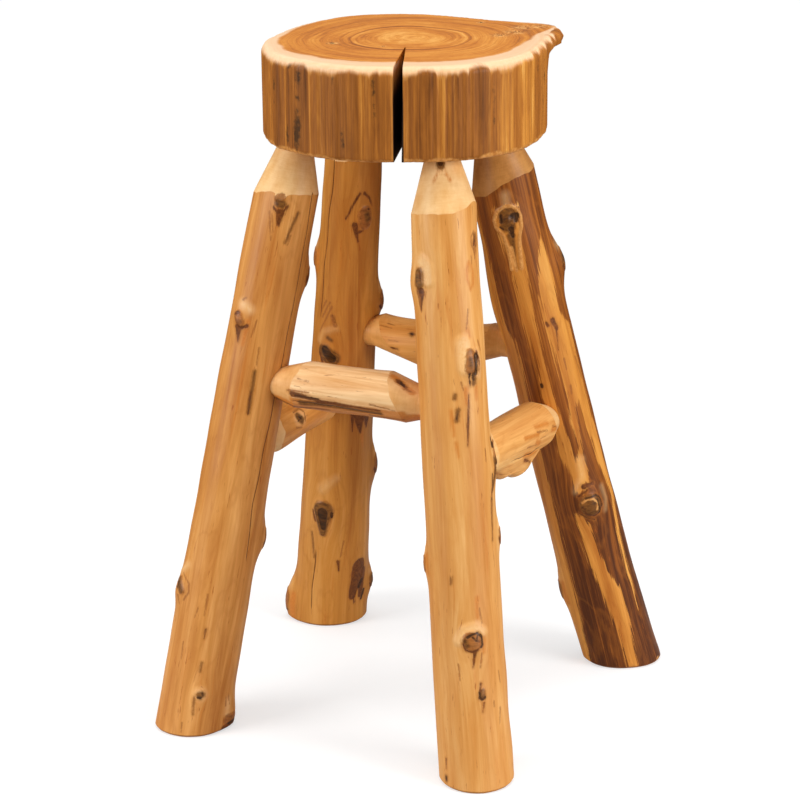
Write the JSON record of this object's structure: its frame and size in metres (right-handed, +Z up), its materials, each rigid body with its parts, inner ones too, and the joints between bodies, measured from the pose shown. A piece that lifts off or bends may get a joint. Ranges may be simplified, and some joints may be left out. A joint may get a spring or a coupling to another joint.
{
  "type": "log counter stool",
  "caption": "Rustic counter stool: a thick round log slab seat on splayed peeled log legs, tied by coned and tenoned log rungs.",
  "frame": {"origin": "middle of the stool's outline, on the floor", "axes": "+Z up, -Y towards the front of the stool, +X to the right of someone who looks at its front"},
  "size_m": [0.4718, 0.4715, 0.762],
  "materials": {
    "slabwood": "clear satin lacquer",
    "sapwood": "clear satin lacquer",
    "heartwood": "clear satin lacquer",
    "steel": "plated"
  },
  "bodies": {
    "root": {"seat_slab": "slabwood", "leg_front_left": "sapwood", "leg_front_right": "sapwood", "leg_back_right": "heartwood", "leg_back_left": "sapwood", "rung_front": "sapwood", "rung_back": "sapwood", "rung_right": "sapwood", "rung_left": "sapwood", "seat_screw_front_left": "steel", "seat_screw_front_right": "steel", "seat_screw_back_right": "steel", "seat_screw_back_left": "steel", "rung_screw_front_front_left": "steel", "rung_screw_front_front_right": "steel", "rung_screw_back_back_left": "steel", "rung_screw_back_back_right": "steel", "rung_screw_right_front_right": "steel", "rung_screw_right_back_right": "steel", "rung_screw_left_front_left": "steel", "rung_screw_left_back_left": "steel"}
  },
  "joints": []
}
